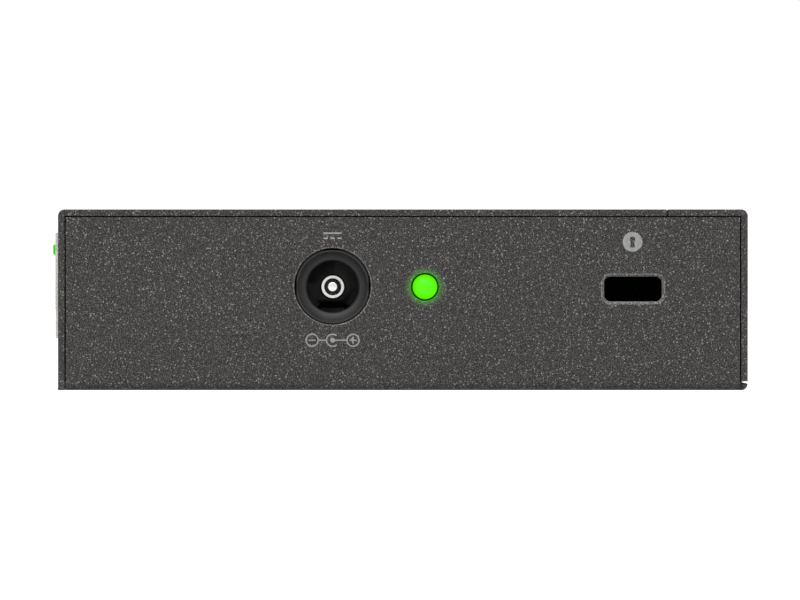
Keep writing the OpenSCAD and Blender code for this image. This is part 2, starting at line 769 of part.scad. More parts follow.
// The sprung leaf that presses on a plug's sleeve through the slot under the bore
module inlet_leaf_spring() {
    apex = [6.6, 2.15];
    tip = [8.2, 1.2];
    color("silver")
    translate([leaf_pivot_x, inlet_y, leaf_pivot_z]) {
        rotate([90, 0, 0]) cylinder(h = leaf_w, r = leaf_eye_r, center = true, $fn = 32);
        rotate([90, 0, 0]) linear_extrude(leaf_w, center = true) polygon([
            [0, 0], [0, leaf_t], [apex[0] - leaf_t, apex[1]], [apex[0] + leaf_t, apex[1]],
            [tip[0], tip[1]], [tip[0] - leaf_t, tip[1] - leaf_t],
            [apex[0], apex[1] - leaf_t], [leaf_t, 0]]);
    }
}

module inlet_terminals() {
    rear_top = inlet_z + 1.3;
    side_top_z = board_top + 3;
    color("silver") {
        difference() {
            span_box([inlet_x0 - blade_t, inlet_y - blade_w / 2, pin_end_z],
                     [inlet_x0, inlet_y + blade_w / 2, rear_top]);
            x_bar(inlet_x0 - 2 * blade_t, inlet_x0 + lip, inlet_y, inlet_z, pin_shank_r + thread_gap);
        }
        span_box([leaf_pivot_x - blade_t / 2, inlet_y - blade_w / 2, pin_end_z],
                 [leaf_pivot_x + blade_t / 2, inlet_y + blade_w / 2, blade_top_z]);
        span_box([side_blade_x() - blade_w / 2, side_blade_y() - blade_t / 2, pin_end_z],
                 [side_blade_x() + blade_w / 2, side_blade_y() + blade_t / 2, side_top_z]);
    }
}

// ---- power lamp ----

module power_lamp() {
    color("lime")
    union() {
        x_bar(led_back_x, led_tip_x - led_r, led_y, led_z, led_r);
        x_bar(led_back_x, led_back_x + led_flange_t, led_y, led_z, led_flange_r);
        translate([led_tip_x - led_r, led_y, led_z]) sphere(led_r);
    }
}

module power_lamp_holder() {
    x0 = led_back_x - led_holder_l;
    half_w = 2.2;
    duct = led_lead_dy + led_lead_t;
    color("#1a1a1b")
    difference() {
        span_box([x0, led_y - half_w, board_top], [led_back_x, led_y + half_w, led_z + half_w]);
        span_box([led_lead_x - led_lead_t, led_y - duct, board_top - lip],
                 [led_back_x + lip, led_y + duct, led_z + led_lead_t]);
    }
}

module power_lamp_leads() {
    t = led_lead_t;
    color("silver")
    for (s = [-1, 1]) translate([0, led_y + s * led_lead_dy, 0])
        drawn_along_y(-t / 2, t / 2) polygon([
            [led_back_x, led_z + t / 2], [led_lead_x - t / 2, led_z + t / 2],
            [led_lead_x - t / 2, pin_end_z], [led_lead_x + t / 2, pin_end_z],
            [led_lead_x + t / 2, led_z - t / 2], [led_back_x, led_z - t / 2]]);
}

// ---- electronics ----

module transformers() {
    color("#28282a")
    for (x = mag_places)
        translate([x - mag_l / 2, mag_y - mag_w / 2, board_top + mag_rise])
            cube([mag_l, mag_w, mag_h]);
}

// Gull-wing lead in Y and Z: out of a body's side, down, and out on the board
module gull_outline(side_y, s, out, height) {
    t = 0.2;
    foot = out / 2;
    polygon([[side_y, height + t], [side_y + s * (out - foot), height + t],
             [side_y + s * (out - foot), board_top + t], [side_y + s * out, board_top + t],
             [side_y + s * out, board_top], [side_y + s * (out - foot - t), board_top],
             [side_y + s * (out - foot - t), height], [side_y, height]]);
}

module transformer_leads() {
    w = 0.45;
    color("silver")
    for (x = mag_places, s = [-1, 1], j = [0 : mag_leads - 1]) {
        lx = x + (j - (mag_leads - 1) / 2) * mag_lead_pitch;
        drawn_along_x(lx - w / 2, lx + w / 2)
            gull_outline(mag_y + s * mag_w / 2, s, mag_lead_out, board_top + mag_rise + 0.8);
    }
}

module switch_chip() {
    color("#232325")
    translate([chip_x - chip_side / 2, chip_y - chip_side / 2, board_top + chip_rise])
        cube([chip_side, chip_side, chip_h]);
}

module switch_chip_leads() {
    w = 0.32;
    pitch = (chip_side - 1.2) / chip_leads;
    color("silver")
    translate([chip_x, chip_y, 0]) for (turn = [0 : 90 : 270], j = [0 : chip_leads - 1]) {
        lx = (j - (chip_leads - 1) / 2) * pitch;
        rotate([0, 0, turn]) drawn_along_x(lx - w / 2, lx + w / 2)
            gull_outline(chip_side / 2, 1, 1, board_top + chip_rise + chip_h / 2);
    }
}

module thermal_pad() {
    color("lightsteelblue")
    translate([chip_x - pad_side / 2, chip_y - pad_side / 2, chip_top])
        cube([pad_side, pad_side, pad_t]);
}

module heat_sink() {
    base_t = 1.4;
    fin_t = 0.9;
    fin_step = (chip_side - fin_t) / (sink_fins - 1);
    color("lightgray")
    translate([chip_x - chip_side / 2, chip_y - chip_side / 2, chip_top + pad_t]) {
        cube([chip_side, chip_side, base_t]);
        for (i = [0 : sink_fins - 1]) translate([i * fin_step, 0, 0])
            cube([fin_t, chip_side, sink_h]);
    }
}

// Low metal can with round ends, lying on its base plate
module crystal() {
    can_l = 11.2;
    can_w = 4.6;
    base_h = 0.6;
    color("silver")
    translate([chip_x - chip_side / 2 - 10, chip_y, board_top]) {
        linear_extrude(base_h) rounded_rect(can_w, can_l, can_w / 2 - 0.05);
        linear_extrude(3.6) rounded_rect(can_w - 0.8, can_l - 0.8, (can_w - 0.8) / 2 - 0.05);
    }
}

// A small moulded chip with leads on its two long sides
module memory_chip() {
    body = [4.9, 3.9, 1.4];
    rise = 0.15;
    color("#232325")
    translate([chip_x - chip_side / 2 - 18, chip_y, 0]) {
        translate([-body[0] / 2, -body[1] / 2, board_top + rise]) cube(body);
        for (s = [-1, 1], j = [-1.5 : 1.5]) drawn_along_x(j * 1.27 - 0.2, j * 1.27 + 0.2)
            gull_outline(s * body[1] / 2, s, 1, board_top + rise + body[2] / 2);
    }
}

module voltage_regulator() {
    body = [6.5, 3.5, 1.5];
    rise = 0.1;
    foot_out = 1.4;
    y = inductor_y + inductor_side / 2 + part_gap + foot_out + body[1] / 2;
    color("#232325")
    translate([inlet_x0 - part_gap - body[0] / 2, y, 0]) {
        translate([-body[0] / 2, -body[1] / 2, board_top + rise]) cube(body);
        for (j = [-1 : 1]) drawn_along_x(j * 2.3 - 0.35, j * 2.3 + 0.35)
            gull_outline(-body[1] / 2, -1, foot_out, board_top + rise + 0.5);
        drawn_along_x(-1.5, 1.5) gull_outline(body[1] / 2, 1, foot_out, board_top + rise + 0.5);
    }
}

module power_inductor() {
    height = 3.8;
    color("#3a3a3e")
    translate([inlet_x0 - part_gap - inductor_side / 2, inductor_y, board_top]) {
        difference() {
            linear_extrude(height) rounded_rect(inductor_side, inductor_side, 0.8);
            translate([0, 0, height - 0.5]) cylinder(h = 1, r = 2.6);
        }
        translate([0, 0, height - 0.5]) cylinder(h = 0.3, r = 2.3);
    }
}

module electrolytic_capacitors() {
    base_h = 0.7;
    first_x = post_x - board_head_r - part_gap - can_r - 1;
    color("lightgray")
    for (i = [0 : 2]) translate([first_x - i * (2 * can_r + part_gap), board_rear_y - can_r - 1.4, board_top]) {
        linear_extrude(base_h) square(2 * can_r + 0.3, center = true);
        cylinder(h = can_h, r = can_r);
    }
}

// A chip part on the board: a body between two metal ends
module chip_part(x, y, turn, size) {
    translate([x, y, board_top]) rotate([0, 0, turn])
        translate([-size[0] / 2, -size[1] / 2, 0]) cube(size);
}

module chip_capacitors() {
    size = [1.6, 0.8, 0.8];
    color("tan") {
        for (i = [-4 : 2 : 4], s = [-1, 1]) {
            chip_part(chip_x + s * chip_ring, chip_y + i, 90, size);
            chip_part(chip_x + i, chip_y + s * chip_ring, 0, size);
        }
        for (x = mag_places) chip_part(x, filter_y, 0, size);
    }
}

module chip_resistors() {
    size = [1.6, 0.8, 0.45];
    outer_ring = chip_ring + 1.4;
    color("#2c2c30") {
        for (i = [-3 : 2 : 3]) {
            for (s = [-1, 1]) chip_part(chip_x + s * outer_ring, chip_y + i, 90, size);
            chip_part(chip_x + i, chip_y + outer_ring, 0, size);
        }
        for (x = mag_places, s = [-1, 1]) chip_part(x + s * 3, filter_y, 0, size);
    }
}

module input_diode() {
    body = [4.3, 2.6, 2.2];
    color("#232325")
    translate([inlet_x0 + part_gap, inlet_y + inlet_w / 2 + part_gap, board_top]) cube(body);
}

chassis();
top_cover();
end_panel();
clinch_nuts();
case_screws();
rating_label();
board_standoffs();
board_screws();
insulating_film();
circuit_board();
port_housing();
port_shield();
port_lamps();
port_lamp_leads();
contact_tails();
port_contacts(1);  // port_1_contacts
port_contacts(2);  // port_2_contacts
port_contacts(3);  // port_3_contacts
port_contacts(4);  // port_4_contacts
port_contacts(5);  // port_5_contacts
inlet_body();
inlet_pin();
inlet_leaf_spring();
inlet_terminals();
power_lamp();
power_lamp_holder();
power_lamp_leads();
transformers();
transformer_leads();
switch_chip();
switch_chip_leads();
thermal_pad();
heat_sink();
crystal();
memory_chip();
voltage_regulator();
power_inductor();
electrolytic_capacitors();
chip_capacitors();
chip_resistors();
input_diode();
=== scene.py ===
"""Looks of the five-port desktop network switch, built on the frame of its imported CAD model."""

import json
import math

import bmesh
import bpy
from bpy.props import BoolProperty, FloatProperty, FloatVectorProperty, PointerProperty
from bpy.types import Operator, Panel, PropertyGroup
from mathutils import Matrix, Vector


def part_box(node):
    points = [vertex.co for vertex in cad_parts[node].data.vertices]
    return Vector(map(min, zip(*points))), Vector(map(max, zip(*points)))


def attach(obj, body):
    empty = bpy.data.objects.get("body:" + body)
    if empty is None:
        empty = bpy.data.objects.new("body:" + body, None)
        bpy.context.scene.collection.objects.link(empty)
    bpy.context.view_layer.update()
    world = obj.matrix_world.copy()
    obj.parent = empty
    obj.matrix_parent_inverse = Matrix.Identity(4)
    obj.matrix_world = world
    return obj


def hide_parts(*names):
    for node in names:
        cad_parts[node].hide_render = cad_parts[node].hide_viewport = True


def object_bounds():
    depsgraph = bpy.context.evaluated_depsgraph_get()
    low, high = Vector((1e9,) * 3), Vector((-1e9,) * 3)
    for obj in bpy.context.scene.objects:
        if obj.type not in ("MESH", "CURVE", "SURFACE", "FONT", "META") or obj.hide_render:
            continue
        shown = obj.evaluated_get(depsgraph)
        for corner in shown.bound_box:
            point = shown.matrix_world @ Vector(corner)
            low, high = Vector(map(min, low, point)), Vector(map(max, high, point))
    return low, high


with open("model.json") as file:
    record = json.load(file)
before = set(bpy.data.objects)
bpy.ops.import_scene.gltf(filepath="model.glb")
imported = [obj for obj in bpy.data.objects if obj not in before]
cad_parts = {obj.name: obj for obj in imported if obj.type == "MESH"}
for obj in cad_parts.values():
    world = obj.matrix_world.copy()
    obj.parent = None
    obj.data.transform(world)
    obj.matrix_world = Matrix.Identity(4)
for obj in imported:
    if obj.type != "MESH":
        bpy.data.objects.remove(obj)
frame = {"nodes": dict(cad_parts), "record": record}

bl_info = {
    "name": "Desktop Network Switch",
    "version": (1, 0, 0),
    "blender": (4, 5, 0),
    "location": "View3D > Sidebar > Switch",
    "description": "Gives the packed five-port network switch its coat, mouldings, metals and marks",
    "category": "Object",
}

MM = 0.001
cad_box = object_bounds()
nodes = frame["nodes"]
places = {mount["name"]: Vector(mount["pos_m"]) for mount in frame["record"]["mounts"]}
case_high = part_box("chassis")[1]
cover_low, cover_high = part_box("top_cover")
inlet_axis = places["inlet_centre_pin"]
lock_middle = places["lock_slot"]
lamp_low, lamp_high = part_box("power_lamp_holder")
lamp_r = (lamp_high.y - lamp_low.y) / 2
lamp_axis = Vector((case_high.x, (lamp_low.y + lamp_high.y) / 2, lamp_high.z - lamp_r))


# ---- property groups ----


def colour(name, description, default):
    """A colour that the user can change."""
    return FloatVectorProperty(name=name, description=description, subtype="COLOR", size=3,
                               min=0.0, max=1.0, default=default)


def length(name, description, default, low, high):
    """A length in metres that the user can change."""
    return FloatProperty(name=name, description=description, unit="LENGTH", subtype="DISTANCE",
                         precision=5, min=low, max=high, default=default)


class SwitchCoatSettings(PropertyGroup):
    ground: colour("Ground", "The coat's dark ground", (0.0162, 0.015, 0.0146))
    fleck: colour("Fleck", "The coat's light flecks", (0.215, 0.198, 0.18))
    # Lighter rim tone: partly a thinner coat on the rolled rims, and partly a painted highlight for the light
    # those rims catch.
    bare_rim: colour("Thin coat", "The thinner coat on the rolled rims of the lock slot and the inlet's hole",
                     (0.062, 0.06, 0.058))
    grain: length("Grain", "Size of the coat's fine grain", 0.00014, 0.00005, 0.002)
    edge_roll: length("Edge roll", "Roundness of the sheets' edges", 0.00004, 0.0, 0.0003)
    hole_roll: length("Hole roll", "Roundness of the edges of the inlet's and lamp's holes",
                      0.00013, 0.0, 0.0003)
    lock_roll: length("Lock slot roll", "Width of the rolled rim round the lock slot", 0.0004, 0.0, 0.0006)


class SwitchMarkSettings(PropertyGroup):
    ink: colour("Ink", "Colour of the printed marks", (0.183, 0.184, 0.18))
    thickness: length("Thickness", "Thickness of the printed ink", 0.00002, 0.00001, 0.0001)
    port_numbers: BoolProperty(name="Port numbers", description="Print a number over each port", default=True)


class SwitchInletSettings(PropertyGroup):
    moulding: colour("Moulding", "Colour of the black mouldings", (0.018, 0.018, 0.0175))
    plating: colour("Plating", "Colour of the centre pin", (0.64, 0.635, 0.62))
    edge_roll: length("Edge roll", "Roundness of the lamp holder's edges", 0.00008, 0.0, 0.0003)


class SwitchLampSettings(PropertyGroup):
    glow: colour("Glow", "Colour of the lit power lamp", (0.105, 0.93, 0.003))
    strength: FloatProperty(name="Strength", description="Strength of the lamp's light",
                            min=0.0, max=20.0, default=1.0)
    halo: length("Halo", "Reach of the lamp's light on the coat round it", 0.0011, 0.0001, 0.004)
    halo_strength: FloatProperty(name="Halo strength", description="Strength of that light",
                                 min=0.0, max=2.0, default=0.25)


class SwitchPortSettings(PropertyGroup):
    shield: colour("Shield", "Colour of the ports' nickel shield", (0.58, 0.572, 0.55))
    contact: colour("Contact", "Colour of the gilt spring wires", (0.85, 0.58, 0.2))
    lamp: colour("Lamp", "Colour of the status lamps", (0.03, 0.42, 0.012))
    lamp_strength: FloatProperty(name="Lamp strength", description="Strength of the status lamps' light",
                                 min=0.0, max=10.0, default=0.35)
    edge_roll: length("Edge roll", "Roundness of the shield's edges", 0.00004, 0.0, 0.0003)


class SwitchBoardSettings(PropertyGroup):
    laminate: colour("Laminate", "Colour of the board's green lacquer", (0.012, 0.1, 0.035))
    copper: colour("Tracks", "Colour of the lacquer over the tracks", (0.035, 0.2, 0.07))
    epoxy: colour("Epoxy", "Colour of the moulded chips", (0.012, 0.012, 0.013))
    edge_roll: length("Edge roll", "Roundness of the small parts' edges", 0.00005, 0.0, 0.0003)


class SwitchStageSettings(PropertyGroup):
    floor: colour("Floor", "Colour of the studio floor", (0.34, 0.34, 0.34))
    floor_light: FloatProperty(name="Floor light", min=0.0, max=5.0, default=0.6,
                               description="Strength of the light that the floor itself gives")
    floor_size: length("Floor size", "Side of the studio floor", 60.0, 1.0, 200.0)
    sky: FloatProperty(name="Sky", description="Strength of the soft light from above",
                       min=0.0, max=10.0, default=2.4)
    horizon: FloatProperty(name="Horizon", description="Strength of the light round the sides",
                           min=0.0, max=10.0, default=1.06)
    key: FloatProperty(name="Key", description="Strength of the large overhead light",
                       min=0.0, max=20.0, default=2.4)
    lens: FloatProperty(name="Lens", description="Focal length of the long studio lens", unit="CAMERA",
                        min=50.0, max=1280.0, default=1200.0)
    distance: length("Distance", "Distance of the camera from the power side", 3.247, 0.2, 10.0)


# ---- material helpers ----


def new_material(name, roughness, metallic=0.0, specular=0.5):
    """An empty finish: its shader's plain sockets hold what is the same all over."""
    material = bpy.data.materials.new(name)
    material.use_nodes = True
    shader = material.node_tree.nodes["Principled BSDF"]
    shader.inputs["Roughness"].default_value = roughness
    shader.inputs["Metallic"].default_value = metallic
    shader.inputs["Specular IOR Level"].default_value = specular
    return material, material.node_tree, shader


def millimetres(tree, stretch=(1.0, 1.0, 1.0)):
    """The point on the object in millimetres, squeezed along its axes where a finish has a direction."""
    place = tree.nodes.new("ShaderNodeTexCoord")
    scaled = tree.nodes.new("ShaderNodeMapping")
    scaled.inputs["Scale"].default_value = [1000.0 * s for s in stretch]
    tree.links.new(place.outputs["Object"], scaled.inputs["Vector"])
    return scaled.outputs["Vector"]


def noise(tree, point, size, detail=2.0, roughness=0.55, distortion=0.0):
    """Soft noise whose features are about size millimetres across."""
    made = tree.nodes.new("ShaderNodeTexNoise")
    made.inputs["Scale"].default_value = 1.0 / size
    made.inputs["Detail"].default_value = detail
    made.inputs["Roughness"].default_value = roughness
    made.inputs["Distortion"].default_value = distortion
    tree.links.new(point, made.inputs["Vector"])
    return made.outputs["Fac"]


def cells(tree, point, size, feature="F1"):
    """Cells about size millimetres across: the distance in each, and its own random colour."""
    made = tree.nodes.new("ShaderNodeTexVoronoi")
    made.feature = feature
    made.inputs["Scale"].default_value = 1.0 / size
    tree.links.new(point, made.inputs["Vector"])
    return made.outputs["Distance"], made.outputs.get("Color")


def maths(tree, operation, first, second=None, clamp=False):
    """One sum on values or sockets."""
    made = tree.nodes.new("ShaderNodeMath")
    made.operation = operation
    made.use_clamp = clamp
    for socket, value in zip(made.inputs, (first, second)):
        if isinstance(value, bpy.types.NodeSocket):
            tree.links.new(value, socket)
        elif value is not None:
            socket.default_value = value
    return made.outputs["Value"]


def spread(tree, value, low, high, to_low=0.0, to_high=1.0):
    """Stretches the values from low to high over another range, and holds them there."""
    made = tree.nodes.new("ShaderNodeMapRange")
    made.inputs["From Min"].default_value = low
    made.inputs["From Max"].default_value = high
    made.inputs["To Min"].default_value = to_low
    made.inputs["To Max"].default_value = to_high
    tree.links.new(value, made.inputs["Value"])
    return made.outputs["Result"]


def tones(tree, value, stops):
    """Turns a value into colour through a ramp of (place, colour) stops."""
    made = tree.nodes.new("ShaderNodeValToRGB")
    ramp = made.color_ramp
    while len(ramp.elements) < len(stops):
        ramp.elements.new(0.5)
    for element, (position, tone) in zip(ramp.elements, stops):
        element.position = position
        element.color = (*tone[:3], 1.0)
    tree.links.new(value, made.inputs["Fac"])
    return made.outputs["Color"]


def blend_colours(tree, share, first, second):
    """Mixes two colours, or colour sockets, by a share."""
    made = tree.nodes.new("ShaderNodeMix")
    made.data_type = "RGBA"
    for value, socket in ((share, made.inputs[0]), (first, made.inputs[6]), (second, made.inputs[7])):
        if isinstance(value, bpy.types.NodeSocket):
            tree.links.new(value, socket)
        else:
            socket.default_value = (*value[:3], 1.0) if hasattr(value, "__len__") else value
    return made.outputs[2]


def relief(tree, shader, height, depth, strength=1.0):
    """Bumps the surface by a height, depth millimetres deep."""
    made = tree.nodes.new("ShaderNodeBump")
    made.inputs["Strength"].default_value = strength
    made.inputs["Distance"].default_value = depth * MM
    tree.links.new(height, made.inputs["Height"])
    tree.links.new(made.outputs["Normal"], shader.inputs["Normal"])


def paler(tone, factor):
    """The same colour, lighter or darker."""
    return tuple(min(1.0, c * factor) for c in tone[:3])


def grained(name, tone, size, contrast, roughness, metallic=0.0, depth=0.01, stretch=(1.0, 1.0, 1.0),
            specular=0.5, detail=3.0):
    """A finish with an even grain: mouldings, ceramics, plated and brushed metals."""
    material, tree, shader = new_material(name, roughness, metallic, specular)
    point = millimetres(tree, stretch)
    grain = noise(tree, point, size, detail, 0.6)
    cloud = noise(tree, point, size * 14, 2.0)
    value = maths(tree, "ADD", maths(tree, "MULTIPLY", grain, 0.65), maths(tree, "MULTIPLY", cloud, 0.35))
    tree.links.new(tones(tree, value, [(0.34, paler(tone, 1 - contrast)), (0.66, paler(tone, 1 + contrast))]),
                   shader.inputs["Base Color"])
    tree.links.new(spread(tree, cloud, 0.3, 0.7, max(0.05, roughness - 0.07), min(1.0, roughness + 0.07)),
                   shader.inputs["Roughness"])
    if depth:
        relief(tree, shader, grain, depth)
    return material


# ---- the object's finishes ----


def speckled_coat(name, ground, fleck, settings, halo=None):
    """Baked powder coat: a dark ground with fine light flecks and short strokes, and a faint tooth."""
    material, tree, shader = new_material(name, 0.5, specular=0.22)
    point = millimetres(tree)
    size = settings.grain / MM
    fine = noise(tree, point, size, 1.0, 0.6)
    swirl = noise(tree, point, size * 2.2, 1.0, 0.5, 0.5)
    stroke = spread(tree, maths(tree, "ABSOLUTE", maths(tree, "SUBTRACT", swirl, 0.5)), 0.0, 0.05, 1.0, 0.0)
    broken = spread(tree, noise(tree, point, size * 3.1, 1.0), 0.5, 0.62)
    distance, own = cells(tree, point, size * 2.4)
    parts = tree.nodes.new("ShaderNodeSeparateColor")
    tree.links.new(own, parts.inputs["Color"])
    speck = maths(tree, "MULTIPLY", spread(tree, distance, 0.16, 0.42, 1.0, 0.0),
                  spread(tree, parts.outputs["Red"], 0.7, 0.95))
    tone = maths(tree, "ADD", fine, maths(tree, "MULTIPLY", maths(tree, "MULTIPLY", stroke, broken), 0.14))
    tone = maths(tree, "ADD", tone, maths(tree, "MULTIPLY", speck, 0.3), clamp=True)
    ramp = tones(tree, tone, [(0.35, paler(ground, 0.08)), (0.5, ground),
                              (0.6, paler(ground, 2.2)), (0.92, fleck)])
    tree.links.new(ramp, shader.inputs["Base Color"])
    relief(tree, shader, tone, 0.008, 0.4)
    # With a halo, the coat also carries the power lamp's light as a painted glow of its own.
    if halo is not None:
        glow_on_coat(tree, shader, tone, halo)
    return material


def lamp_distance(tree, across=False):
    """Distance from the power lamp's middle in metres, or only across its axis."""
    place = tree.nodes.new("ShaderNodeTexCoord")
    offset = tree.nodes.new("ShaderNodeVectorMath")
    offset.operation = "SUBTRACT"
    offset.inputs[1].default_value = lamp_axis
    tree.links.new(place.outputs["Object"], offset.inputs[0])
    flat = tree.nodes.new("ShaderNodeVectorMath")
    flat.operation = "MULTIPLY"
    flat.inputs[1].default_value = (0.0 if across else 1.0, 1.0, 1.0)
    tree.links.new(offset.outputs["Vector"], flat.inputs[0])
    reach = tree.nodes.new("ShaderNodeVectorMath")
    reach.operation = "LENGTH"
    tree.links.new(flat.outputs["Vector"], reach.inputs[0])
    return reach.outputs["Value"]


def glow_on_coat(tree, shader, tone, lamp):
    """The power lamp's light on the coat just round it, painted into the coat as a glow of its own, stronger
    on the raised flecks.
    """
    hole = lamp_r * 0.76
    near = spread(tree, lamp_distance(tree), hole, hole + lamp.halo, 1.0, 0.0)
    near = maths(tree, "POWER", near, 2.0)
    flecked = spread(tree, tone, 0.1, 0.6, 0.55, 1.0)
    strength = maths(tree, "MULTIPLY", maths(tree, "MULTIPLY", near, flecked), lamp.halo_strength)
    shader.inputs["Emission Color"].default_value = (*lamp.glow, 1.0)
    tree.links.new(strength, shader.inputs["Emission Strength"])


def laminate_finish(name, settings):
    """Green lacquer over tracks: paler bands where copper lies under it, and a fine weave."""
    material, tree, shader = new_material(name, 0.32, specular=0.5)
    point = millimetres(tree)
    turned = tree.nodes.new("ShaderNodeTexWave")
    turned.bands_direction = "DIAGONAL"
    turned.inputs["Scale"].default_value = 0.22
    turned.inputs["Distortion"].default_value = 6.0
    turned.inputs["Detail"].default_value = 0.0
    turned.inputs["Detail Scale"].default_value = 0.35
    tree.links.new(point, turned.inputs["Vector"])
    pour = spread(tree, noise(tree, point, 9.0, 1.0), 0.48, 0.5)
    track = spread(tree, turned.outputs["Fac"], 0.78, 0.84)
    copper = maths(tree, "MAXIMUM", pour, track)
    lacquer = blend_colours(tree, copper, settings.laminate[:], settings.copper[:])
    weave = noise(tree, point, 0.35, 2.0)
    shade = tones(tree, weave, [(0.3, (0.82, 0.82, 0.82)), (0.7, (1.0, 1.0, 1.0))])
    mixed = tree.nodes.new("ShaderNodeMix")
    mixed.data_type = "RGBA"
    mixed.blend_type = "MULTIPLY"
    mixed.inputs[0].default_value = 1.0
    tree.links.new(lacquer, mixed.inputs[6])
    tree.links.new(shade, mixed.inputs[7])
    tree.links.new(mixed.outputs[2], shader.inputs["Base Color"])
    relief(tree, shader, copper, 0.035)
    return material


def lamp_finish(name, tone, strength, core, side=None):
    """Tinted clear resin, lit from inside. A round lamp's side, which its holder hides, stays dark."""
    material, tree, shader = new_material(name, 0.3, specular=0.12)
    cloud = noise(tree, millimetres(tree), 1.6, 1.0)
    tree.links.new(tones(tree, cloud, [(0.3, paler(tone, core)), (0.7, paler(tone, core * 1.25))]),
                   shader.inputs["Base Color"])
    tree.links.new(tones(tree, cloud, [(0.3, paler(tone, 0.96)), (0.7, tone)]),
                   shader.inputs["Emission Color"])
    shader.inputs["Emission Strength"].default_value = strength
    if side is not None:
        hidden = strength * 0.04
        out = spread(tree, lamp_distance(tree, across=True), side * 0.96, side, strength, hidden)
        tree.links.new(out, shader.inputs["Emission Strength"])
    return material


def ink_finish(name, tone):
    """Screen-printed ink: thin in places, so that the coat's tooth breaks it up a little."""
    material, tree, shader = new_material(name, 0.6, specular=0.25)
    point = millimetres(tree)
    wear = noise(tree, point, 0.24, 3.0, 0.7)
    tree.links.new(tones(tree, wear, [(0.32, paler(tone, 0.72)), (0.62, paler(tone, 1.12))]),
                   shader.inputs["Base Color"])
    relief(tree, shader, wear, 0.01)
    return material


def paper_finish(name):
    """Blank coated label: off-white, with faint fibres."""
    material, tree, shader = new_material(name, 0.5, specular=0.35)
    point = millimetres(tree)
    fibre = noise(tree, millimetres(tree, (1.0, 3.5, 1.0)), 0.5, 3.0, 0.6)
    cloud = noise(tree, point, 9.0, 2.0)
    value = maths(tree, "ADD", maths(tree, "MULTIPLY", fibre, 0.5), maths(tree, "MULTIPLY", cloud, 0.5))
    tree.links.new(tones(tree, value, [(0.35, (0.7, 0.7, 0.68)), (0.65, (0.82, 0.82, 0.81))]),
                   shader.inputs["Base Color"])
    relief(tree, shader, fibre, 0.004)
    return material


def film_finish(name):
    """Thin clear insulating film with a faint straw tint."""
    material, tree, shader = new_material(name, 0.25, specular=0.5)
    point = millimetres(tree)
    cloud = noise(tree, point, 6.0, 2.0)
    tree.links.new(tones(tree, cloud, [(0.3, (0.46, 0.44, 0.35)), (0.7, (0.58, 0.56, 0.46))]),
                   shader.inputs["Base Color"])
    relief(tree, shader, cloud, 0.05)
    return material


# ---- geometry helpers ----


def shown_as(node_name, material, roll=0.0, segments=2):
    """Keeps a CAD node, gives it its finish and softens its edges by modifiers."""
    node = nodes[node_name]
    node.data.materials.clear()
    node.data.materials.append(material)
    node.data.shade_smooth()
    joined = node.modifiers.new("Joined corners", "WELD")
    joined.merge_threshold = 0.000002
    whole = node.modifiers.new("Whole faces", "DECIMATE")
    whole.decimate_type = "DISSOLVE"
    whole.angle_limit = math.radians(0.6)
    if roll > 0:
        soft = node.modifiers.new("Softened edges", "BEVEL")
        soft.width = roll
        soft.segments = segments
        soft.limit_method = "ANGLE"
        soft.angle_limit = math.radians(35)
        soft.use_clamp_overlap = True
    even = node.modifiers.new("Even shading", "WEIGHTED_NORMAL")
    even.keep_sharp = False
    even.weight = 60
    return node


def add_piece(name, bm, materials, body):
    """Makes an object from mesh data, in place, and lets it ride on its body."""
    mesh = bpy.data.meshes.new(name)
    bm.to_mesh(mesh)
    bm.free()
    piece = bpy.data.objects.new(name, mesh)
    bpy.context.scene.collection.objects.link(piece)
    for material in materials:
        mesh.materials.append(material)
    mesh.shade_smooth()
    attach(piece, body)
    return piece


def sharp_edges(bm, angle=35.0):
    """Edges where two faces meet at a clear angle."""
    limit = math.radians(angle)
    return [e for e in bm.edges if len(e.link_faces) == 2 and e.calc_face_angle(0.0) > limit]


def rolled_sheet(node_name, name, materials, roll, rims=()):
    """A sheet rebuilt from its CAD node with rolled edges. Each rim is a middle, a reach and a roll
    for the edges of a hole in the power side's outer face, and the finish that the roll gets."""
    bm = bmesh.new()
    bm.from_mesh(nodes[node_name].data)
    bmesh.ops.remove_doubles(bm, verts=bm.verts, dist=0.0000005)
    bmesh.ops.dissolve_limit(bm, angle_limit=math.radians(0.6), verts=bm.verts, edges=bm.edges)
    for middle, reach, width, finish in rims:
        found = []
        for edge in sharp_edges(bm):
            ends = [v.co - middle for v in edge.verts]
            if all(abs(d.x) < 0.00001 and abs(d.y) < reach.y and abs(d.z) < reach.z for d in ends):
                found.append(edge)
        bmesh.ops.bevel(bm, geom=found, offset=width, segments=6, profile=0.5, affect="EDGES",
                        clamp_overlap=False, material=finish)
    bmesh.ops.bevel(bm, geom=sharp_edges(bm), offset=roll, segments=2, profile=0.5, affect="EDGES",
                    clamp_overlap=True, material=-1)
    piece = add_piece(name, bm, materials, "case")
    even = piece.modifiers.new("Even shading", "WEIGHTED_NORMAL")
    even.weight = 60
    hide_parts(node_name)
    return piece


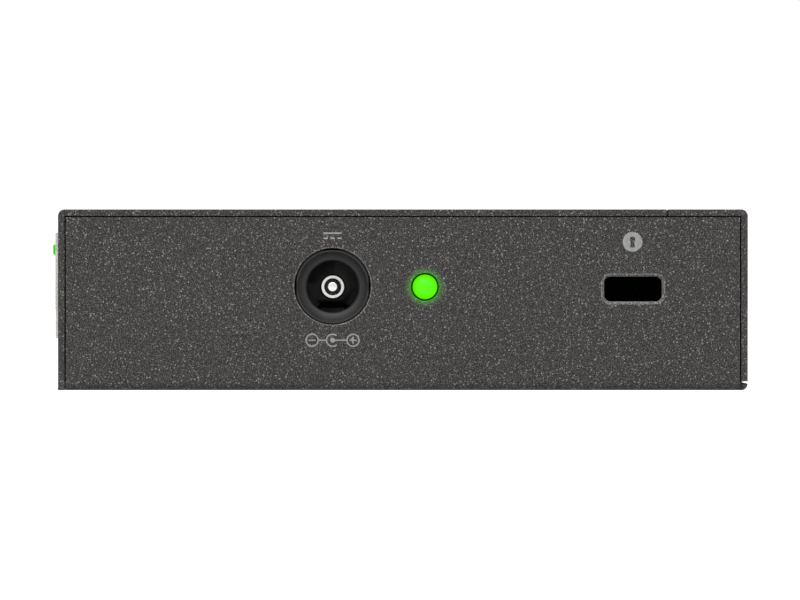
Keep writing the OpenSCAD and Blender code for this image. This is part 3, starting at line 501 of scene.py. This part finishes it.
def ink_piece(name, outlines, face, thickness, material, text=None, text_size=0.0, text_at=(0.0, 0.0)):
    """Flat printed shapes on one face of the case. Outlines are closed lines in the face's own
    left-right and up-down millimetres; a line inside another cuts a hole in it."""
    drawn = bpy.data.curves.new(name, "FONT" if text else "CURVE")
    if text:
        drawn.body = text
        drawn.align_x = "CENTER"
        drawn.align_y = "CENTER"
        drawn.size = text_size
        drawn.offset_x, drawn.offset_y = text_at
    else:
        drawn.dimensions = "2D"
        drawn.fill_mode = "BOTH"
        for points in outlines:
            line = drawn.splines.new("POLY")
            line.points.add(len(points) - 1)
            for place, (u, v) in zip(line.points, points):
                place.co = (u, v, 0.0, 1.0)
            line.use_cyclic_u = True
    drawn.extrude = thickness / MM / 2
    holder = bpy.data.objects.new(name + "_outline", drawn)
    bpy.context.scene.collection.objects.link(holder)
    bpy.context.view_layer.update()
    flat = bpy.data.meshes.new_from_object(holder)
    bpy.data.objects.remove(holder)
    bm = bmesh.new()
    bm.from_mesh(flat)
    bpy.data.meshes.remove(flat)
    bmesh.ops.remove_doubles(bm, verts=bm.verts, dist=0.0001)
    lift = Matrix.Translation((0.0, 0.0, thickness / MM / 2))
    bm.transform(face @ Matrix.Scale(MM, 4) @ lift)
    for polygon in bm.faces:
        polygon.smooth = False
    piece = add_piece(name, bm, [material], "case")
    piece.data.shade_flat()
    return piece


def circle_line(u, v, radius, start=0.0, end=360.0, steps=48):
    """Points round a circle, or along an arc of it, in degrees."""
    count = steps if end - start >= 360.0 else steps + 1
    return [(u + radius * math.cos(math.radians(start + (end - start) * i / steps)),
             v + radius * math.sin(math.radians(start + (end - start) * i / steps))) for i in range(count)]


def arc_line(u, v, radius, width, start, end, steps=32):
    """The outline of a bent stroke."""
    outer = circle_line(u, v, radius + width / 2, start, end, steps)
    inner = circle_line(u, v, radius - width / 2, start, end, steps)
    return outer + inner[::-1]


def bar_line(u0, v0, u1, v1):
    """The outline of a bar between two corners."""
    return [(u0, v0), (u1, v0), (u1, v1), (u0, v1)]


# ---- operators ----


class SWITCH_OT_case_sheets(Operator):
    """Give the floor and side walls, the cover and the end panel their speckled coat and rolled edges"""

    bl_idname = "switch.case_sheets"
    bl_label = "Case Sheets"

    def execute(self, context):
        coat = context.scene.switch_coat
        lamp = context.scene.switch_lamp
        speckled = speckled_coat("speckled_coat", coat.ground[:], coat.fleck[:], coat, lamp)
        # The lighter rim coat is partly thinner coat and partly a painted highlight on the rims of the lock
        # slot and the inlet's hole.
        thin = speckled_coat("thinner_coat_and_painted_rim_highlight", coat.bare_rim[:], paler(coat.bare_rim, 3.0), coat)
        inlet_hole = Vector((case_high.x, inlet_axis.y, inlet_axis.z))
        # The lock slot's and the inlet hole's rolls get finish 1, the lighter coat with its painted
        # highlight; the lamp's roll keeps the plain coat.
        rims = [
            (lock_middle, Vector((0, 0.005, 0.003)), coat.lock_roll, 1),
            (inlet_hole, Vector((0, 0.0052, 0.0052)), coat.hole_roll, 1),
            (lamp_axis, Vector((0, 0.0025, 0.0025)), coat.hole_roll, 0),
        ]
        rolled_sheet("chassis", "floor_and_side_walls", [speckled, thin], coat.edge_roll, rims)
        rolled_sheet("top_cover", "port_wall_and_top", [speckled], coat.edge_roll)
        rolled_sheet("end_panel", "end_wall", [speckled], coat.edge_roll)
        return {"FINISHED"}


class SWITCH_OT_printed_marks(Operator):
    """Print the supply, polarity and lock marks on the power side, and the numbers over the ports"""

    bl_idname = "switch.printed_marks"
    bl_label = "Printed Marks"

    def execute(self, context):
        marks = context.scene.switch_marks
        ink = ink_finish("screen_ink", marks.ink[:])
        side = Matrix(((0, 0, 1, case_high.x), (1, 0, 0, 0), (0, 1, 0, 0), (0, 0, 0, 1)))
        u = inlet_axis.y / MM
        supply_top, supply_base = 19.11, 18.49
        half_bar, half_dash = 1.1, 0.26
        half_thick = 0.1
        outlines = [bar_line(u - half_bar, supply_top - half_thick, u + half_bar, supply_top + half_thick)]
        for place in (half_dash - half_bar, 0.0, half_bar - half_dash):
            outlines.append(bar_line(u + place - half_dash, supply_base - half_thick,
                                     u + place + half_dash, supply_base + half_thick))
        ink_piece("direct_current_mark", outlines, side, marks.thickness, ink)

        v = 6.07
        spread_out, radius, stroke = 2.49, 0.735, 0.16
        arm, dot_r, hair_gap = 0.42, 0.3, 0.003
        half = stroke / 2
        outlines = []
        for s in (-1, 1):
            centre = u + s * spread_out
            outlines.append(circle_line(centre, v, radius + half))
            outlines.append(circle_line(centre, v, radius - half))
        outlines.append(bar_line(u - spread_out - arm, v - half, u - spread_out + arm, v + half))
        plus = u + spread_out
        outlines.append([(plus - arm, v - half), (plus - half, v - half), (plus - half, v - arm),
                         (plus + half, v - arm), (plus + half, v - half), (plus + arm, v - half),
                         (plus + arm, v + half), (plus + half, v + half), (plus + half, v + arm),
                         (plus - half, v + arm), (plus - half, v + half), (plus - arm, v + half)])
        outlines.append(arc_line(u, v, radius, stroke, 48, 312))
        reach = radius + half + hair_gap
        outlines.append(bar_line(u - spread_out + reach, v - half, u - reach, v + half))
        outlines.append(bar_line(u + dot_r + hair_gap, v - half, u + spread_out - reach, v + half))
        outlines.append(circle_line(u, v, dot_r, steps=32))
        ink_piece("polarity_mark", outlines, side, marks.thickness, ink)

        lock_u, lock_v = lock_middle.y / MM - 0.06, 18.05
        disc_r, eye_r, eye_rise, foot_drop, half_foot = 1.2, 0.34, 0.3, 0.68, 0.3
        keyhole = circle_line(lock_u, lock_v + eye_rise, eye_r, -50, 230, 24)
        foot = [(lock_u - half_foot, lock_v - foot_drop), (lock_u + half_foot, lock_v - foot_drop)]
        outlines = [circle_line(lock_u, lock_v, disc_r), keyhole + foot]
        ink_piece("keyhole_mark", outlines, side, marks.thickness, ink)

        if marks.port_numbers:
            front = Matrix(((1, 0, 0, 0), (0, 0, -1, cover_low.y), (0, 1, 0, 0), (0, 0, 0, 1)))
            number_height = (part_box("port_shield")[1].z + cover_high.z) / MM / 2 - 0.3
            for number in range(1, 6):
                across = places[f"port_{number}"].x / MM
                ink_piece(f"port_number_{number}", [], front, marks.thickness, ink, text=str(number),
                          text_size=2.1, text_at=(across, number_height))
        return {"FINISHED"}


class SWITCH_OT_power_inlet(Operator):
    """Finish the power inlet: its black moulding, plated pin, leaf spring and terminals"""

    bl_idname = "switch.power_inlet"
    bl_label = "Power Inlet"

    def execute(self, context):
        inlet = context.scene.switch_inlet
        ports = context.scene.switch_ports
        black = grained("black_moulding", inlet.moulding[:], 0.12, 0.18, 0.5, depth=0.003, specular=0.3)
        plated = grained("plated_pin", inlet.plating[:], 0.3, 0.04, 0.2, metallic=1.0, depth=0.002)
        # The leaf spring's nickel is darkened well below its own tone: painted shade for the depth of the
        # bore.
        spring = grained("shade_darkened_spring", paler(ports.shield, 0.22), 0.25, 0.06, 0.4, metallic=1.0, depth=0.002)
        tinned = grained("tinned_terminals", (0.58, 0.58, 0.56), 0.35, 0.1, 0.36, metallic=1.0, depth=0.006)
        shown_as("inlet_body", black)
        shown_as("power_lamp_holder", black, inlet.edge_roll, 3)
        shown_as("inlet_pin", plated, 0.00006, 3)
        shown_as("inlet_leaf_spring", spring, 0.00004)
        shown_as("inlet_terminals", tinned, 0.00004)
        return {"FINISHED"}


class SWITCH_OT_power_lamp(Operator):
    """Light the power lamp and finish its leads"""

    bl_idname = "switch.power_lamp"
    bl_label = "Power Lamp"

    def execute(self, context):
        lamp = context.scene.switch_lamp
        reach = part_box("power_lamp")[1].y - lamp_axis.y
        shown_as("power_lamp", lamp_finish("lit_power_lamp", lamp.glow[:], lamp.strength, 0.04, reach * 0.8))
        shown_as("power_lamp_leads", bpy.data.materials["tinned_terminals"], 0.00004)
        return {"FINISHED"}


class SWITCH_OT_network_ports(Operator):
    """Finish the port block: housing, nickel shield, status lamps and gilt spring wires"""

    bl_idname = "switch.network_ports"
    bl_label = "Network Ports"

    def execute(self, context):
        ports = context.scene.switch_ports
        black = bpy.data.materials["black_moulding"]
        tinned = bpy.data.materials["tinned_terminals"]
        nickel = grained("nickel_shield", ports.shield[:], 0.22, 0.26, 0.3, metallic=1.0, depth=0.004,
                         stretch=(0.12, 1.0, 1.0))
        lamp = lamp_finish("status_lamp", ports.lamp[:], ports.lamp_strength, 0.7)
        gilt = grained("gilt_wire", ports.contact[:], 0.2, 0.06, 0.22, metallic=1.0, depth=0.001)
        shown_as("port_housing", black, 0.00008)
        shown_as("port_shield", nickel, ports.edge_roll)
        shown_as("port_lamps", lamp, 0.00005)
        shown_as("port_lamp_leads", tinned, 0.00003)
        shown_as("contact_tails", tinned, 0.00003)
        for number in range(1, 6):
            shown_as(f"port_{number}_contacts", gilt, 0.00004)
        return {"FINISHED"}


class SWITCH_OT_fixings(Operator):
    """Finish the screws, nuts, standoffs, film and blank label"""

    bl_idname = "switch.fixings"
    bl_label = "Fixings and Label"

    def execute(self, context):
        zinc = grained("zinc_plate", (0.55, 0.56, 0.58), 0.6, 0.16, 0.34, metallic=1.0, depth=0.004)
        brass = grained("yellow_brass", (0.72, 0.5, 0.2), 0.4, 0.1, 0.3, metallic=1.0, depth=0.004)
        dark_zinc = grained("dark_screws", (0.07, 0.07, 0.075), 0.4, 0.25, 0.38, metallic=1.0, depth=0.004)
        shown_as("clinch_nuts", zinc, 0.00008)
        shown_as("case_screws", dark_zinc, 0.00005)
        shown_as("board_screws", zinc, 0.00008)
        shown_as("board_standoffs", brass, 0.00008)
        shown_as("insulating_film", film_finish("clear_film"))
        shown_as("rating_label", paper_finish("blank_label"))
        return {"FINISHED"}


class SWITCH_OT_electronics(Operator):
    """Finish the board and everything soldered to it"""

    bl_idname = "switch.electronics"
    bl_label = "Board and Electronics"

    def execute(self, context):
        board = context.scene.switch_board
        roll = board.edge_roll
        tinned = bpy.data.materials["tinned_terminals"]
        epoxy = grained("chip_epoxy", board.epoxy[:], 0.1, 0.3, 0.55, depth=0.006, specular=0.4)
        shown_as("circuit_board", laminate_finish("green_laminate", board), roll)
        for name in ("transformers", "switch_chip", "memory_chip", "voltage_regulator", "input_diode"):
            shown_as(name, epoxy, 0.00012)
        for name in ("transformer_leads", "switch_chip_leads"):
            shown_as(name, tinned, 0.00002)
        pad = grained("thermal_silicone", (0.3, 0.4, 0.52), 0.3, 0.1, 0.7, depth=0.01)
        bare = grained("bare_aluminium", (0.78, 0.79, 0.8), 0.12, 0.08, 0.35, metallic=1.0, depth=0.004,
                       stretch=(1.0, 0.06, 1.0))
        cans = grained("can_aluminium", (0.74, 0.75, 0.76), 0.14, 0.06, 0.25, metallic=1.0, depth=0.002,
                       stretch=(1.0, 1.0, 0.1))
        shown_as("thermal_pad", pad, roll)
        shown_as("heat_sink", bare, roll)
        shown_as("electrolytic_capacitors", cans, 0.0003, 3)
        shown_as("crystal", bpy.data.materials["nickel_shield"], 0.00015, 3)
        ferrite = grained("ferrite", (0.05, 0.05, 0.054), 0.14, 0.3, 0.6, depth=0.01)
        tan = grained("tan_ceramic", (0.4, 0.27, 0.15), 0.2, 0.12, 0.4, depth=0.004)
        soot = grained("resistor_black", (0.02, 0.02, 0.022), 0.2, 0.2, 0.45, depth=0.004)
        shown_as("power_inductor", ferrite, 0.00012)
        shown_as("chip_capacitors", tan, roll)
        shown_as("chip_resistors", soot, roll)
        return {"FINISHED"}


class SWITCH_OT_studio(Operator):
    """Set up the plain pale floor, the soft light and the camera facing the power side"""

    bl_idname = "switch.studio"
    bl_label = "Studio"

    def execute(self, context):
        stage = context.scene.switch_stage
        self.lay_floor(stage)
        self.light_sky(context, stage)
        self.hang_light(context, stage)
        self.place_camera(context, stage)
        context.scene.view_settings.view_transform = "Standard"
        return {"FINISHED"}

    def lay_floor(self, stage):
        """The pale floor, which gives a little light of its own as a light table does."""
        bm = bmesh.new()
        bmesh.ops.create_grid(bm, x_segments=4, y_segments=4, size=stage.floor_size / 2)
        bmesh.ops.translate(bm, verts=bm.verts, vec=(0.0, 0.0, cad_box[0].z - 0.00002))
        mesh = bpy.data.meshes.new("studio_floor")
        bm.to_mesh(mesh)
        bm.free()
        floor = bpy.data.objects.new("studio_floor", mesh)
        bpy.context.scene.collection.objects.link(floor)
        material, tree, shader = new_material("pale_floor", 0.85, specular=0.1)
        cloud = noise(tree, millimetres(tree), 90.0, 2.0)
        tree.links.new(tones(tree, cloud, [(0.2, paler(stage.floor, 0.99)), (0.8, stage.floor[:])]),
                       shader.inputs["Base Color"])
        shader.inputs["Emission Color"].default_value = (1.0, 1.0, 1.0, 1.0)
        shader.inputs["Emission Strength"].default_value = stage.floor_light
        mesh.materials.append(material)

    def light_sky(self, context, stage):
        """Even light from all round, brighter from above."""
        world = bpy.data.worlds.new("soft_sky")
        world.use_nodes = True
        context.scene.world = world
        tree = world.node_tree
        background = tree.nodes["Background"]
        place = tree.nodes.new("ShaderNodeTexCoord")
        parts = tree.nodes.new("ShaderNodeSeparateXYZ")
        tree.links.new(place.outputs["Generated"], parts.inputs["Vector"])
        rise = spread(tree, parts.outputs["Z"], 0.05, 0.9, stage.horizon, stage.sky)
        background.inputs["Color"].default_value = (1.0, 1.0, 1.0, 1.0)
        tree.links.new(rise, background.inputs["Strength"])

    def hang_light(self, context, stage):
        """One large soft panel above and in front of the power side."""
        panel = bpy.data.lights.new("overhead_panel", "AREA")
        panel.shape = "RECTANGLE"
        panel.size, panel.size_y = 1.6, 1.6
        panel.energy = stage.key * 10
        hung = bpy.data.objects.new("overhead_panel", panel)
        hung.location = (0.7, -0.25, 1.5)
        hung.rotation_euler = (-hung.location).to_track_quat("-Z", "Y").to_euler()
        context.scene.collection.objects.link(hung)

    def place_camera(self, context, stage):
        """A long lens, level with the middle of the case and square to the power side."""
        made = bpy.data.cameras.new("side_camera")
        aim_y, aim_down = -0.00035, 0.00003
        made.lens = stage.lens
        made.sensor_width = 36.0
        made.clip_start = 0.05
        made.clip_end = 200.0
        camera = bpy.data.objects.new("side_camera", made)
        middle_z = (cad_box[0].z + cad_box[1].z) / 2
        camera.location = (case_high.x + stage.distance, aim_y, middle_z - aim_down)
        camera.rotation_euler = (math.radians(90), 0.0, math.radians(90))
        context.scene.collection.objects.link(camera)
        context.scene.camera = camera


class SWITCH_PT_parts(Panel):
    """Lists the pieces of the network switch"""

    bl_label = "Network Switch"
    bl_idname = "SWITCH_PT_parts"
    bl_space_type = "VIEW_3D"
    bl_region_type = "UI"
    bl_category = "Switch"

    def draw(self, context):
        layout = self.layout
        for operator in OPERATORS:
            layout.operator(operator.bl_idname)
        for name in SETTINGS:
            group = getattr(context.scene, name)
            box = layout.box()
            box.label(text=type(group).__name__)
            for key in group.bl_rna.properties.keys():
                if key not in ("rna_type", "name"):
                    box.prop(group, key)


OPERATORS = (
    SWITCH_OT_case_sheets,
    SWITCH_OT_printed_marks,
    SWITCH_OT_power_inlet,
    SWITCH_OT_power_lamp,
    SWITCH_OT_network_ports,
    SWITCH_OT_fixings,
    SWITCH_OT_electronics,
    SWITCH_OT_studio,
)
SETTINGS = {
    "switch_coat": SwitchCoatSettings,
    "switch_marks": SwitchMarkSettings,
    "switch_inlet": SwitchInletSettings,
    "switch_lamp": SwitchLampSettings,
    "switch_ports": SwitchPortSettings,
    "switch_board": SwitchBoardSettings,
    "switch_stage": SwitchStageSettings,
}


def register():
    for group in SETTINGS.values():
        bpy.utils.register_class(group)
    for name, group in SETTINGS.items():
        setattr(bpy.types.Scene, name, PointerProperty(type=group))
    for operator in OPERATORS:
        bpy.utils.register_class(operator)
    bpy.utils.register_class(SWITCH_PT_parts)


def unregister():
    bpy.utils.unregister_class(SWITCH_PT_parts)
    for operator in reversed(OPERATORS):
        bpy.utils.unregister_class(operator)
    for name in SETTINGS:
        delattr(bpy.types.Scene, name)
    for group in reversed(list(SETTINGS.values())):
        bpy.utils.unregister_class(group)


def main():
    register()
    bpy.ops.switch.case_sheets()
    bpy.ops.switch.printed_marks()
    bpy.ops.switch.power_inlet()
    bpy.ops.switch.power_lamp()
    bpy.ops.switch.network_ports()
    bpy.ops.switch.fixings()
    bpy.ops.switch.electronics()
    bpy.ops.switch.studio()


if __name__ == "__main__":
    main()
